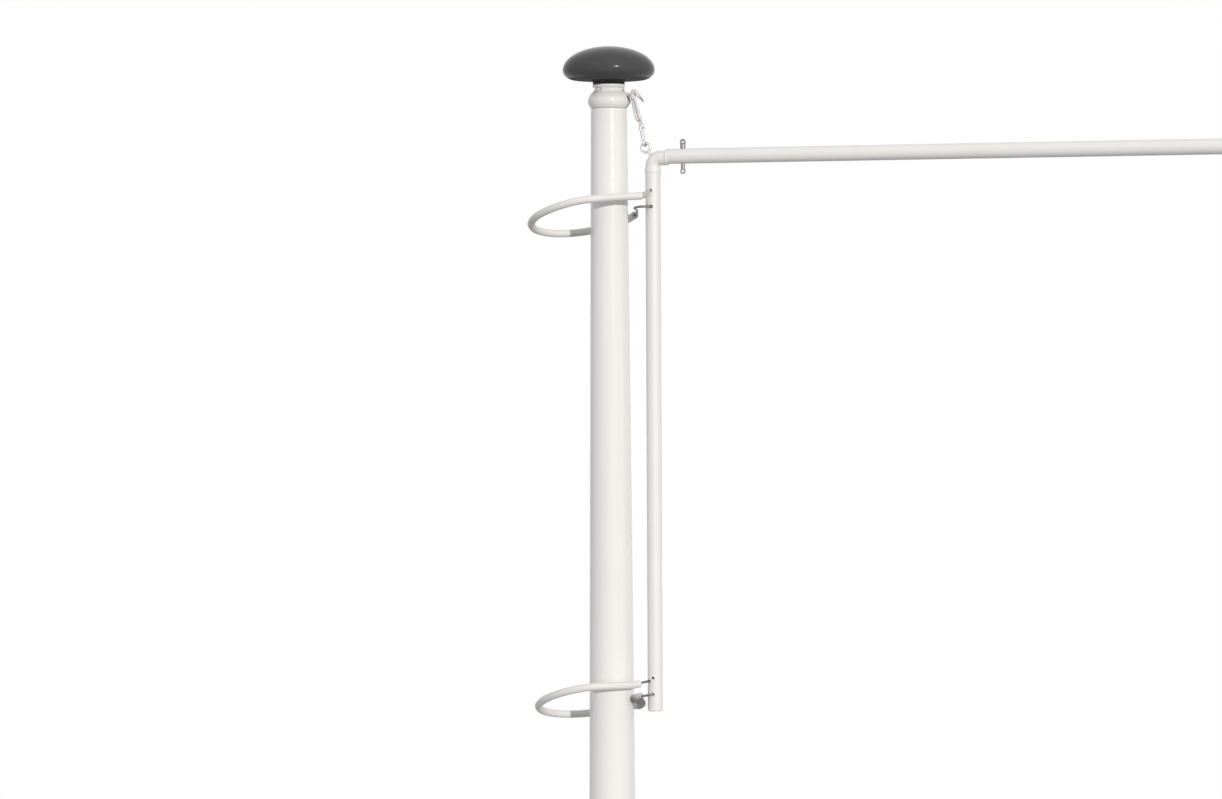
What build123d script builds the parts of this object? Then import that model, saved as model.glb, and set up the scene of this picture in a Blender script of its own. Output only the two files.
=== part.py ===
# Conical glass-fibre flagpole with a turning head and a hoistable banner arm.
# Millimetres, +Z up, +X along the boom, origin in the middle of the base plate's underside.
import os
from math import atan, cos, degrees, radians, sin, sqrt, tan

from build123d import *

os.makedirs("parts", exist_ok=True)

# ---- clearances -------------------------------------------------------------------------
SEAT = 0.3            # gap left between seated pieces
SLIP = 0.2            # radial gap of a spigot pushed into a tube
PIN_FIT = 0.05        # radial gap of a pin in its hole

# ---- pole -------------------------------------------------------------------------------
POLE_TOP_Z = 6000.0
POLE_TOP_D = 60.0
POLE_BASE_D = 146.0
POLE_WALL = 4.0
POLE_LIP_R = 1.6      # rounding of the pole's top edge

# ---- foot -------------------------------------------------------------------------------
PLATE_SIDE = 300.0
PLATE_T = 12.0
PLATE_CORNER_R = 15.0
ANCHOR_SPACING = 220.0
ANCHOR_HOLE_D = 18.0
SOCKET_HEIGHT = 300.0
SOCKET_WALL = 5.0
FOOT_BOLT_D = 12.0
FOOT_BOLT_Z = 90.0
BOLT_HEAD_AF = 18.0
BOLT_HEAD_T = 7.5
WASHER_D = 24.0
WASHER_T = 2.5

# ---- hatch and cleat --------------------------------------------------------------------
HATCH_Z = 1200.0
HATCH_W = 56.0
HATCH_H = 170.0
HATCH_LAP = 10.0
HATCH_T = 2.5
CLEAT_W = 22.0
CLEAT_H = 70.0
CLEAT_DROP = 10.0     # how far the cleat's top lies under the hatch's middle

# ---- halyard ----------------------------------------------------------------------------
ROPE_D = 5.0

# ---- turning head: heights are over the pole's top --------------------------------------
HEAD_LIFT = 0.4       # running gap between the head and the pole's top edge
HEAD_FOOT_D = 60.0
HEAD_BEAD_D = 66.0
HEAD_BEAD_Z = 4.4
HEAD_BULGE_D = 70.0
HEAD_BULGE_Z = 12.6
HEAD_NECK_D = 47.6
HEAD_NECK_Z = 30.4
HEAD_RIM_D = 54.0
HEAD_RIM_LOW = 34.8
HEAD_RIM_HIGH = 39.6
HEAD_GROOVE_D = 68.8
HEAD_GROOVE_Z = 7.9
HEAD_GROOVE_R = 0.7
HOUSING_D = 52.0      # roller housing: the slot side's wall goes up to just under the rim
HOUSING_ARC = 192.0
HOUSING_GAP = 1.0
RIB_W = 4.2           # upright rib at each end of the housing
RIB_H = 7.0
RIB_PROUD = 0.6
HEAD_WALL = 3.0
HEAD_FLOOR_TOP = 4.4
HEAD_CHAMBER_D = 60.0
HEAD_CHAMBER_Z = 20.0
HEAD_SPIGOT_D = 44.0
HEAD_SPIGOT_BORE = 34.0
HEAD_SPIGOT_DEPTH = 62.0
HEAD_BOSS_D = 38.0
HEAD_BOSS_H = 14.0
SLOT_W = 15.0
SLOT_LOW = 8.4
SLOT_HIGH = 31.6
SLOT_RIM_W = 2.2      # raised rim round the rope slot
SLOT_RIM_H = 1.0
BUSH_LENGTH = 52.0
CLIP_D = 49.0
CLIP_T = 3.0
ROLLER_CORE_R = 7.3
ROLLER_FLANGE_R = 9.4
ROLLER_W = 12.0
ROLLER_PIN_D = 4.0
ROLLER_Z = 12.8

# ---- cap --------------------------------------------------------------------------------
CAP_D = 152.8
CAP_RIM_Z = 63.6
CAP_TOP_Z = 103.0
CAP_UNDER_Z = 47.2
CAP_UNDER_D = 110.0
CAP_STEM_D = 52.6
CAP_STEM_FILLET = 5.0
CAP_WALL = 4.0

# ---- banner arm -------------------------------------------------------------------------
TUBE_D = 25.0
TUBE_WALL = 2.0
TUBE_X = 75.5
BOOM_DROP = 80.6      # from the pole's top down to the boom's axis
ARM_LENGTH = 915.2    # from the boom's axis down to the upright's open end
BOOM_END_X = 1275.0
ELBOW_D = 24.4
ELBOW_BEND_R = 13.6
ELBOW_DROP = 2.4      # the casting's level branch lies a little under the boom's axis
ELBOW_COLLAR_D = 26.6
ELBOW_COLLAR = 11.2
ELBOW_BRANCH = 12.4
ELBOW_RIM_L = 4.5
ELBOW_RIM_DROP = 1.3
ELBOW_SPIGOT = 20.0
COLLAR_ROUND = 0.8
PLUG_T = 1.4
PLUG_DOME = 1.2
PLUG_INSERT = 16.0

# ---- eye bolt in the elbow --------------------------------------------------------------
EYE_ANGLE = 130.0
EYE_REACH = 14.3
EYE_RING_R = 7.6
EYE_WIRE_D = 4.4
EYE_SHANK_D = 6.3
EYE_SHANK_IN = 6.0

# ---- pins through the boom --------------------------------------------------------------
BOOM_PIN_NEAR_X = 127.0
BOOM_PIN_END_GAP = 45.0
BOOM_PIN_D = 6.6
BOOM_PIN_COLLAR_D = 8.8
BOOM_PIN_COLLAR_H = 6.8
TOP_EYE_R = 3.5
TOP_EYE_WIRE = 3.4
TOP_EYE_TURN = -5.0
LOW_EYE_R = 3.4
LOW_EYE_WIRE = 2.9
LOW_EYE_TURN = 30.0
LOW_EYE_DROP = 12.3   # from the boom's underside down to the low eye's middle

# ---- snap hook and rope end -------------------------------------------------------------
KNOT_X = 44.5
KNOT_Z = 24.9         # over the pole's top
KNOT_R = 6.2
TAIL_LENGTH = 22.0
TAIL_DIR_X = 0.75
TAIL_DIR_Z = -0.66
HOOK_WIRE_D = 3.5
HOOK_LENGTH = 25.6
HOOK_TURN = 18.0      # the hook hangs a little askew in the eye
SWIVEL_WIRE_D = 2.6
SWIVEL_RING_R = 4.9

# ---- guide rings round the pole ---------------------------------------------------------
RING_ROD_D = 4.0
RING_HOLE_D = 5.8
RING_HOSE_D = 12.4
RING_HOLE_PITCH = 26.8
RING_RADIUS = 90.0
RING_HANG = 28.4      # how far a ring's middle hangs under the middle of its two holes
UPPER_RING_BACK = 119.8
LOWER_RING_BACK = 111.5
UPPER_RING_TILT = 0.2155
LOWER_RING_TILT = 0.3143
RING_BOW_START = 60   # degrees, from the arm tube's side towards the back
RING_BOW_END = 260
RING_STEP = 28        # degrees between the points of a ring's round part
RING_SLOPE_X = 0.215  # rise of a ring towards the arm tube
SIDE_HOLE_RISE = 7.8  # hole in the upright's flank for the lower ring's front end
SIDE_HOLE_ANGLE = 233.4
RING_HIGH_DROP = 69.0 # from the boom's axis down to the middle of the upper ring's holes
RING_LOW_RISE = 40.1  # from the upright's open end up to the middle of the lower ring's holes


def pole_radius(z):
    """Outer radius of the tapered pole at height z."""
    return (POLE_BASE_D + (POLE_TOP_D - POLE_BASE_D) * z / POLE_TOP_Z) / 2


def round_bend_radii(points, share=0.45):
    """One bend radius for each inner corner of a route."""
    radii = []
    for before, corner, after in zip(points, points[1:], points[2:]):
        arriving = Vector(*corner) - Vector(*before)
        leaving = Vector(*after) - Vector(*corner)
        half_turn = radians(arriving.get_angle(leaving)) / 2
        radii.append(share * min(arriving.length, leaving.length) / tan(half_turn))
    return radii


def quarter_oval(side, crown):
    """Control points of a quarter ellipse, upright at its side and level at its crown."""
    pull = 0.5523
    return (
        side,
        (side[0], side[1] + pull * (crown[1] - side[1])),
        (crown[0] + pull * (side[0] - crown[0]), crown[1]),
        crown,
    )


def turned_plane(origin, turn):
    """Upright plane whose normal is turned from -Y about the vertical, in degrees."""
    turn = radians(turn)
    return Plane(origin=origin, x_dir=(cos(turn), sin(turn), 0), z_dir=(sin(turn), -cos(turn), 0))


def finish(builder, label):
    """Name the finished piece and write it to its own file."""
    builder.part.label = label
    export_step(builder.part, f"parts/{label}.step")


# ---- base plate: square steel plate with four anchor holes -------------------------------
with BuildPart() as base_plate:
    with BuildSketch():
        RectangleRounded(PLATE_SIDE, PLATE_SIDE, PLATE_CORNER_R)
    extrude(amount=PLATE_T)
    with GridLocations(ANCHOR_SPACING, ANCHOR_SPACING, 2, 2):
        Hole(ANCHOR_HOLE_D / 2)
    chamfer(base_plate.faces().sort_by(Axis.Z)[-1].outer_wire().edges(), 1.5)
finish(base_plate, "base_plate")

# ---- base socket: steel tube welded to the plate, inside the pole's butt -----------------
socket_top_z = PLATE_T + SOCKET_HEIGHT
socket_r = pole_radius(socket_top_z) - POLE_WALL - SEAT
foot_bolt_place = Location((0, 0, FOOT_BOLT_Z), (90, 0, 0))
with BuildPart() as base_socket:
    with BuildSketch(Plane.XY.offset(PLATE_T)):
        Circle(socket_r)
        Circle(socket_r - SOCKET_WALL, mode=Mode.SUBTRACT)
    extrude(amount=SOCKET_HEIGHT)
    with Locations(foot_bolt_place):
        Cylinder(FOOT_BOLT_D / 2 + PIN_FIT, PLATE_SIDE, mode=Mode.SUBTRACT)
finish(base_socket, "base_socket")

# ---- pole shaft: hollow tapered tube -----------------------------------------------------
pole_foot_r = pole_radius(PLATE_T)
pole_top_r = pole_radius(POLE_TOP_Z)
with BuildPart() as pole_shaft:
    with BuildSketch(Plane.XZ) as shaft_profile:
        with BuildLine():
            Polyline(
                (pole_foot_r - POLE_WALL, PLATE_T),
                (pole_foot_r, PLATE_T),
                (pole_top_r, POLE_TOP_Z),
                (pole_top_r - POLE_WALL, POLE_TOP_Z),
                close=True,
            )
        make_face()
        outer_lip = shaft_profile.vertices().group_by(Axis.Y)[-1].sort_by(Axis.X)[-1]
        fillet(outer_lip, POLE_LIP_R)
    revolve(axis=Axis.Z)
    with BuildSketch(Plane.XZ):
        with Locations((0, HATCH_Z)):
            RectangleRounded(HATCH_W, HATCH_H, HATCH_W / 2.2)
    extrude(amount=POLE_BASE_D, mode=Mode.SUBTRACT)
    with Locations(foot_bolt_place):
        Cylinder(FOOT_BOLT_D / 2 + PIN_FIT, PLATE_SIDE, mode=Mode.SUBTRACT)
finish(pole_shaft, "pole_shaft")

# ---- hatch door: curved plate over the hand hole, on the pole's outside ------------------
hatch_low_z = HATCH_Z - HATCH_H / 2 - HATCH_LAP
hatch_high_z = HATCH_Z + HATCH_H / 2 + HATCH_LAP
with BuildPart() as hatch_door:
    with BuildSketch(Plane.XZ):
        with BuildLine():
            Polyline(
                (pole_radius(hatch_low_z) + SEAT, hatch_low_z),
                (pole_radius(hatch_low_z) + SEAT + HATCH_T, hatch_low_z),
                (pole_radius(hatch_high_z) + SEAT + HATCH_T, hatch_high_z),
                (pole_radius(hatch_high_z) + SEAT, hatch_high_z),
                close=True,
            )
        make_face()
    revolve(axis=Axis.Z)
    with BuildSketch(Plane.XZ):
        with Locations((0, HATCH_Z)):
            RectangleRounded(
                HATCH_W + 2 * HATCH_LAP, HATCH_H + 2 * HATCH_LAP, HATCH_W / 2.2 + HATCH_LAP
            )
    extrude(amount=POLE_BASE_D, mode=Mode.INTERSECT)
finish(hatch_door, "hatch_door")

# ---- cleat block inside the pole, behind the hatch ---------------------------------------
cleat_top_z = HATCH_Z - CLEAT_DROP
cleat_low_z = cleat_top_z - CLEAT_H
with BuildPart() as halyard_cleat:
    with BuildSketch(Plane.XZ):
        with BuildLine():
            Polyline(
                (0, cleat_low_z),
                (pole_radius(cleat_low_z) - POLE_WALL - SEAT, cleat_low_z),
                (pole_radius(cleat_top_z) - POLE_WALL - SEAT, cleat_top_z),
                (0, cleat_top_z),
                close=True,
            )
        make_face()
    revolve(axis=Axis.Z)
    with BuildSketch(Plane.XY.offset(cleat_low_z)):
        with Locations((0, POLE_BASE_D / 2 - ROPE_D)):
            Rectangle(CLEAT_W, POLE_BASE_D)
    extrude(amount=CLEAT_H, mode=Mode.INTERSECT)
finish(halyard_cleat, "halyard_cleat")

# ---- halyard inside the pole: taut rope on the pole's axis -------------------------------
rope_split_z = POLE_TOP_Z - HEAD_SPIGOT_DEPTH / 4
with BuildPart() as halyard_inside:
    with BuildSketch(Plane.XY.offset(cleat_top_z + SEAT)):
        Circle(ROPE_D / 2)
    extrude(amount=rope_split_z - cleat_top_z - 2 * SEAT)
finish(halyard_inside, "halyard_inside")

# ---- foot bolt: through the pole's butt and the socket -----------------------------------
bolt_seat_y = pole_foot_r + SEAT
bolt_end_y = bolt_seat_y + WASHER_T + BOLT_HEAD_T
with BuildPart() as foot_bolt:
    with BuildSketch(Plane.XZ.offset(-bolt_end_y)):
        with Locations((0, FOOT_BOLT_Z)):
            Circle(FOOT_BOLT_D / 2)
    extrude(amount=2 * bolt_end_y)
    for side in (-1, 1):
        washer_plane = Plane((0, side * bolt_seat_y, FOOT_BOLT_Z), x_dir=(1, 0, 0), z_dir=(0, side, 0))
        with BuildSketch(washer_plane):
            Circle(WASHER_D / 2)
        extrude(amount=WASHER_T)
        with BuildSketch(washer_plane.offset(WASHER_T)):
            RegularPolygon(BOLT_HEAD_AF / 2, 6, major_radius=False)
        extrude(amount=BOLT_HEAD_T)
finish(foot_bolt, "foot_bolt")

# ---- bush: tapered plastic liner glued in the pole's mouth -------------------------------
bush_low_z = POLE_TOP_Z - BUSH_LENGTH
bush_bore_r = HEAD_SPIGOT_D / 2 + SEAT
with BuildPart() as pole_bush:
    with BuildSketch(Plane.XZ):
        with BuildLine():
            Polyline(
                (bush_bore_r, bush_low_z),
                (pole_radius(bush_low_z) - POLE_WALL - SEAT, bush_low_z),
                (pole_top_r - POLE_WALL - SEAT, POLE_TOP_Z),
                (bush_bore_r, POLE_TOP_Z),
                close=True,
            )
        make_face()
    revolve(axis=Axis.Z)
finish(pole_bush, "pole_bush")

head_plane = Plane(origin=(0, 0, POLE_TOP_Z), x_dir=(1, 0, 0), z_dir=(0, -1, 0))

# ---- head shell: bell-shaped moulding with a roller housing, a rope slot with a raised rim
# and a spigot that turns in the bush
slot_middle_z = (SLOT_LOW + SLOT_HIGH) / 2
slot_height = SLOT_HIGH - SLOT_LOW
slot_plane = Plane(origin=(HEAD_SPIGOT_BORE / 2, 0, POLE_TOP_Z), x_dir=(0, 1, 0), z_dir=(1, 0, 0))
foot = (HEAD_FOOT_D / 2, HEAD_LIFT)
bead = (HEAD_BEAD_D / 2, HEAD_BEAD_Z)
bulge = (HEAD_BULGE_D / 2, HEAD_BULGE_Z)
neck = (HEAD_NECK_D / 2, HEAD_NECK_Z)
shoulder = (neck[0] + 0.6 * (bulge[0] - neck[0]), bulge[1] + 0.6 * (neck[1] - bulge[1]))
groove_x = HEAD_GROOVE_D / 2
groove_high = HEAD_GROOVE_Z + HEAD_GROOVE_R
groove_low = HEAD_GROOVE_Z - HEAD_GROOVE_R
housing_top = HEAD_RIM_LOW - HOUSING_GAP
housing_start = turned_plane((0, 0, POLE_TOP_Z), -HOUSING_ARC / 2)
rib_inner = neck[0] - HEAD_WALL / 2
rib_outer = HOUSING_D / 2 + RIB_PROUD
with BuildPart() as head_shell:
    with BuildSketch(head_plane):
        with BuildLine():
            ThreePointArc(
                (neck[0] + SLOT_RIM_H, neck[1]),
                (shoulder[0] + SLOT_RIM_H, shoulder[1]),
                (bulge[0] + SLOT_RIM_H, bulge[1]),
            )
            Polyline(
                (bulge[0] + SLOT_RIM_H, bulge[1]),
                (bulge[0] + SLOT_RIM_H, SLOT_LOW),
                (bead[0], SLOT_LOW - SLOT_RIM_W),
                (neck[0] - HEAD_WALL, SLOT_LOW - SLOT_RIM_W),
                (neck[0] - HEAD_WALL, housing_top),
                (HOUSING_D / 2 + SLOT_RIM_H, housing_top),
                (neck[0] + SLOT_RIM_H, neck[1]),
            )
        make_face()
    revolve(axis=Axis.Z)
    with BuildSketch(slot_plane):
        with Locations((0, slot_middle_z)):
            RectangleRounded(
                SLOT_W + 2 * SLOT_RIM_W, slot_height + 2 * SLOT_RIM_W, SLOT_W / 3 + SLOT_RIM_W
            )
    extrude(amount=HEAD_BULGE_D, mode=Mode.INTERSECT)
    with BuildSketch(head_plane):
        with BuildLine():
            Polyline(
                (0, HEAD_RIM_HIGH + HEAD_BOSS_H),
                (HEAD_BOSS_D / 2, HEAD_RIM_HIGH + HEAD_BOSS_H),
                (HEAD_BOSS_D / 2, HEAD_RIM_HIGH),
                (HEAD_RIM_D / 2, HEAD_RIM_HIGH),
                (HEAD_RIM_D / 2, HEAD_RIM_LOW),
                (HEAD_NECK_D / 2, HEAD_RIM_LOW),
                neck,
            )
            ThreePointArc(neck, shoulder, bulge)
            ThreePointArc(
                bulge,
                ((bulge[0] + groove_x) / 2 + HEAD_GROOVE_R / 4, (bulge[1] + groove_high) / 2),
                (groove_x, groove_high),
            )
            Polyline(
                (groove_x, groove_high),
                (groove_x - HEAD_GROOVE_R, HEAD_GROOVE_Z),
                (groove_x, groove_low),
            )
            ThreePointArc((groove_x, groove_low), bead, foot)
            Polyline(
                foot,
                (HEAD_SPIGOT_D / 2, HEAD_LIFT),
                (HEAD_SPIGOT_D / 2, -HEAD_SPIGOT_DEPTH),
                (HEAD_SPIGOT_BORE / 2, -HEAD_SPIGOT_DEPTH),
                (HEAD_SPIGOT_BORE / 2, HEAD_FLOOR_TOP),
                (HEAD_CHAMBER_D / 2, HEAD_FLOOR_TOP),
                (HEAD_CHAMBER_D / 2, HEAD_CHAMBER_Z),
                (neck[0] - HEAD_WALL, HEAD_NECK_Z),
                (neck[0] - HEAD_WALL, HEAD_RIM_LOW),
                (0, HEAD_RIM_LOW),
                (0, HEAD_RIM_HIGH + HEAD_BOSS_H),
            )
        make_face()
    revolve(axis=Axis.Z)
    with BuildSketch(housing_start):
        with BuildLine():
            Polyline(
                (rib_inner, HEAD_NECK_Z),
                (HOUSING_D / 2, HEAD_NECK_Z - 1.5 * (HOUSING_D / 2 - neck[0])),
                (HOUSING_D / 2, housing_top),
                (rib_inner, housing_top),
                close=True,
            )
        make_face()
    revolve(axis=Axis.Z, revolution_arc=HOUSING_ARC)
    for side in (-1, 1):
        rib_turn = side * HOUSING_ARC / 2
        rib_plane = Plane.XY.offset(POLE_TOP_Z + HEAD_RIM_LOW - RIB_H).rotated((0, 0, rib_turn))
        with BuildSketch(rib_plane):
            with Locations(((rib_inner + rib_outer) / 2, 0)):
                Rectangle(rib_outer - rib_inner, RIB_W)
        extrude(amount=RIB_H)
    with BuildSketch(slot_plane):
        with Locations((0, slot_middle_z)):
            RectangleRounded(SLOT_W, slot_height, SLOT_W / 3)
    extrude(amount=HEAD_BULGE_D, mode=Mode.SUBTRACT)
finish(head_shell, "head_shell")

# ---- spigot clip: ring that keeps the head from lifting out of the bush ------------------
with BuildPart() as spigot_clip:
    with BuildSketch(Plane.XY.offset(bush_low_z - SEAT)):
        Circle(CLIP_D / 2)
        Circle(HEAD_SPIGOT_D / 2 + PIN_FIT, mode=Mode.SUBTRACT)
    extrude(amount=-CLIP_T)
finish(spigot_clip, "spigot_clip")

# ---- roller that turns the halyard from the pole's axis out through the slot -------------
roller_z = POLE_TOP_Z + ROLLER_Z
rope_turn_r = ROLLER_CORE_R + ROPE_D / 2 + PIN_FIT
roller_centre = (rope_turn_r, 0, roller_z)
with BuildPart() as rope_roller:
    with BuildSketch(Plane(roller_centre)):
        with BuildLine():
            Polyline(
                (ROLLER_PIN_D / 2 + PIN_FIT, -ROLLER_W / 2),
                (ROLLER_FLANGE_R, -ROLLER_W / 2),
                (ROLLER_FLANGE_R, -ROPE_D / 2 - 1),
                (ROLLER_CORE_R, -ROPE_D / 2),
                (ROLLER_CORE_R, ROPE_D / 2),
                (ROLLER_FLANGE_R, ROPE_D / 2 + 1),
                (ROLLER_FLANGE_R, ROLLER_W / 2),
                (ROLLER_PIN_D / 2 + PIN_FIT, ROLLER_W / 2),
                close=True,
            )
        make_face()
    revolve(axis=Axis(roller_centre, (0, 1, 0)))
finish(rope_roller, "rope_roller")

pin_far_x = rope_turn_r + ROLLER_PIN_D / 2
roller_pin_half = sqrt((HEAD_CHAMBER_D / 2) ** 2 - pin_far_x**2) - SEAT
with BuildPart() as roller_pin:
    with BuildSketch(Plane.XZ.offset(-roller_pin_half)):
        with Locations((rope_turn_r, roller_z)):
            Circle(ROLLER_PIN_D / 2)
    extrude(amount=2 * roller_pin_half)
finish(roller_pin, "roller_pin")

# ---- mushroom cap: hollow moulding on the head's boss ------------------------------------
with BuildPart() as mushroom_cap:
    with BuildSketch(head_plane) as cap_profile:
        with BuildLine():
            rim = (CAP_D / 2, CAP_RIM_Z)
            under = (CAP_UNDER_D / 2, CAP_UNDER_Z)
            stem = (CAP_STEM_D / 2, CAP_UNDER_Z - CAP_STEM_FILLET)
            flare = (CAP_STEM_D / 2 + CAP_STEM_FILLET, CAP_UNDER_Z)
            flare_middle = (
                flare[0] - CAP_STEM_FILLET * sin(radians(45)),
                stem[1] + CAP_STEM_FILLET * sin(radians(45)),
            )
            inner_rim = (CAP_D / 2 - CAP_WALL, CAP_RIM_Z)
            Bezier(*quarter_oval(rim, (0, CAP_TOP_Z)))
            Bezier(*quarter_oval(rim, under))
            Line(under, flare)
            ThreePointArc(flare, flare_middle, stem)
            Polyline(
                stem,
                (CAP_STEM_D / 2, HEAD_RIM_HIGH + SEAT),
                (HEAD_BOSS_D / 2 + SEAT, HEAD_RIM_HIGH + SEAT),
                (HEAD_BOSS_D / 2 + SEAT, CAP_UNDER_Z + 2 * CAP_WALL),
                (CAP_UNDER_D / 2, CAP_UNDER_Z + 2 * CAP_WALL),
                inner_rim,
            )
            Bezier(*quarter_oval(inner_rim, (0, CAP_TOP_Z - CAP_WALL)))
            Line((0, CAP_TOP_Z - CAP_WALL), (0, CAP_TOP_Z))
        make_face()
    revolve(axis=Axis.Z)
finish(mushroom_cap, "mushroom_cap")

# ---- halyard in the head: up the axis, over the roller, out through the slot --------------
knot_centre = Vector(KNOT_X, 0, POLE_TOP_Z + KNOT_Z)
rope_exit_z = roller_z + rope_turn_r
with BuildPart() as halyard_head:
    with BuildLine() as head_rope_path:
        FilletPolyline(
            (0, 0, rope_split_z),
            (0, 0, rope_exit_z),
            (KNOT_X - KNOT_R - SEAT, 0, rope_exit_z),
            radius=rope_turn_r,
        )
    with BuildSketch(Plane.XY.offset(rope_split_z)):
        Circle(ROPE_D / 2)
    sweep()
finish(halyard_head, "halyard_head")

# ---- arm tube: upright of the banner arm, with holes for the guide rings -----------------
boom_z = POLE_TOP_Z - BOOM_DROP
tube_end_z = boom_z - ARM_LENGTH
ring_high_z = boom_z - RING_HIGH_DROP
ring_low_z = tube_end_z + RING_LOW_RISE
side_hole_z = ring_low_z + SIDE_HOLE_RISE
branch_z = boom_z - ELBOW_DROP
elbow_low_z = branch_z - ELBOW_BEND_R - ELBOW_COLLAR
elbow_side_x = TUBE_X + ELBOW_BEND_R + ELBOW_BRANCH
tube_bore_r = TUBE_D / 2 - TUBE_WALL
rod_hole_r = RING_HOLE_D / 2
side_hole_dir = Vector(cos(radians(SIDE_HOLE_ANGLE)), sin(radians(SIDE_HOLE_ANGLE)), 0)
with BuildPart() as arm_tube:
    with BuildSketch(Plane.XY.offset(tube_end_z)):
        with Locations((TUBE_X, 0)):
            Circle(TUBE_D / 2)
            Circle(tube_bore_r, mode=Mode.SUBTRACT)
    extrude(amount=elbow_low_z - tube_end_z)
    with BuildSketch(Plane.XZ):
        for ring_z in (ring_high_z, ring_low_z):
            with Locations((TUBE_X, ring_z)):
                with GridLocations(0, RING_HOLE_PITCH, 1, 2):
                    Circle(rod_hole_r)
    extrude(amount=TUBE_D, mode=Mode.SUBTRACT)
    with BuildSketch(Plane(origin=(TUBE_X, 0, side_hole_z), z_dir=side_hole_dir)):
        Circle(rod_hole_r + SLIP)
    extrude(amount=TUBE_D, mode=Mode.SUBTRACT)
finish(arm_tube, "arm_tube")

# ---- elbow: cast corner with a collar and a spigot on each branch -------------------------
bend_centre = Vector(TUBE_X + ELBOW_BEND_R, 0, branch_z - ELBOW_BEND_R)
spigot_r = tube_bore_r - SLIP
eye_dir = Vector(cos(radians(EYE_ANGLE)), 0, sin(radians(EYE_ANGLE)))
eye_foot = bend_centre + eye_dir * (ELBOW_BEND_R + ELBOW_D / 2)
eye_centre = eye_foot + eye_dir * EYE_REACH
eye_plane = Plane(origin=eye_foot, x_dir=(0, 1, 0), z_dir=eye_dir)
collar_taper = degrees(atan((ELBOW_COLLAR_D - ELBOW_D) / ELBOW_COLLAR))
with BuildPart() as elbow:
    with BuildLine() as elbow_path:
        FilletPolyline(
            (TUBE_X, 0, elbow_low_z),
            (TUBE_X, 0, branch_z),
            (elbow_side_x, 0, branch_z),
            radius=ELBOW_BEND_R,
        )
    with BuildSketch(Plane((TUBE_X, 0, elbow_low_z))):
        Circle(ELBOW_D / 2)
    sweep()
    with BuildSketch(Plane((TUBE_X, 0, elbow_low_z))):
        Circle(ELBOW_COLLAR_D / 2)
    extrude(amount=ELBOW_COLLAR / 2)
    with BuildSketch(Plane((TUBE_X, 0, elbow_low_z + ELBOW_COLLAR / 2))):
        Circle(ELBOW_COLLAR_D / 2)
    extrude(amount=ELBOW_COLLAR / 2, taper=collar_taper)
    collar_edges = elbow.edges().filter_by(GeomType.CIRCLE).group_by(Axis.Z)
    fillet(collar_edges[0], COLLAR_ROUND)
    with BuildSketch(Plane((TUBE_X, 0, elbow_low_z))):
        Circle(spigot_r)
    extrude(amount=-ELBOW_SPIGOT)
    boom_start = Plane((elbow_side_x, 0, boom_z), x_dir=(0, 1, 0), z_dir=(1, 0, 0))
    with BuildSketch(boom_start.offset(-ELBOW_RIM_L)):
        with Locations((0, -ELBOW_DROP)):
            Circle(ELBOW_D / 2)
    with BuildSketch(boom_start.offset(-ELBOW_RIM_L / 2)):
        with Locations((0, -ELBOW_RIM_DROP)):
            Circle(ELBOW_COLLAR_D / 2)
    loft()
    with BuildSketch(boom_start.offset(-ELBOW_RIM_L / 2)):
        with Locations((0, -ELBOW_RIM_DROP)):
            Circle(ELBOW_COLLAR_D / 2)
    extrude(amount=ELBOW_RIM_L / 2)
    with BuildSketch(boom_start):
        Circle(spigot_r)
    extrude(amount=ELBOW_SPIGOT)
    with BuildSketch(eye_plane):
        Circle(EYE_SHANK_D / 2 + PIN_FIT)
    extrude(amount=-EYE_SHANK_IN - SEAT, mode=Mode.SUBTRACT)
finish(elbow, "elbow")

# ---- end plug: shared by the arm tube's lower end and the boom's free end ----------------


def end_plug(face_plane, label):
    """Plug whose flange covers a tube's end; the plane faces away from the tube."""
    with BuildPart() as plug:
        with BuildSketch(face_plane):
            Circle(TUBE_D / 2)
        extrude(amount=PLUG_T)
        with BuildSketch(face_plane.offset(PLUG_T)):
            Circle(TUBE_D / 2 - PLUG_DOME)
        extrude(amount=PLUG_DOME)
        chamfer(plug.edges().filter_by(GeomType.CIRCLE).sort_by(SortBy.RADIUS)[-1], PLUG_DOME / 2)
        with BuildSketch(face_plane):
            Circle(spigot_r)
        extrude(amount=-PLUG_INSERT)
    finish(plug, label)


end_plug(Plane(origin=(TUBE_X, 0, tube_end_z), x_dir=(1, 0, 0), z_dir=(0, 0, -1)), "tube_end_plug")
end_plug(Plane(origin=(BOOM_END_X, 0, boom_z), x_dir=(0, 1, 0), z_dir=(1, 0, 0)), "boom_end_plug")

# ---- boom: level tube that carries the banner, drilled upright for its pins --------------
boom_pin_xs = (BOOM_PIN_NEAR_X, BOOM_END_X - BOOM_PIN_END_GAP)
with BuildPart() as boom:
    with BuildSketch(Plane((elbow_side_x, 0, boom_z), x_dir=(0, 1, 0), z_dir=(1, 0, 0))):
        Circle(TUBE_D / 2)
        Circle(tube_bore_r, mode=Mode.SUBTRACT)
    extrude(amount=BOOM_END_X - elbow_side_x)
    with Locations([(pin_x, 0, boom_z) for pin_x in boom_pin_xs]):
        Cylinder(BOOM_PIN_D / 2 + PIN_FIT, 2 * TUBE_D, mode=Mode.SUBTRACT)
finish(boom, "boom")

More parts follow.
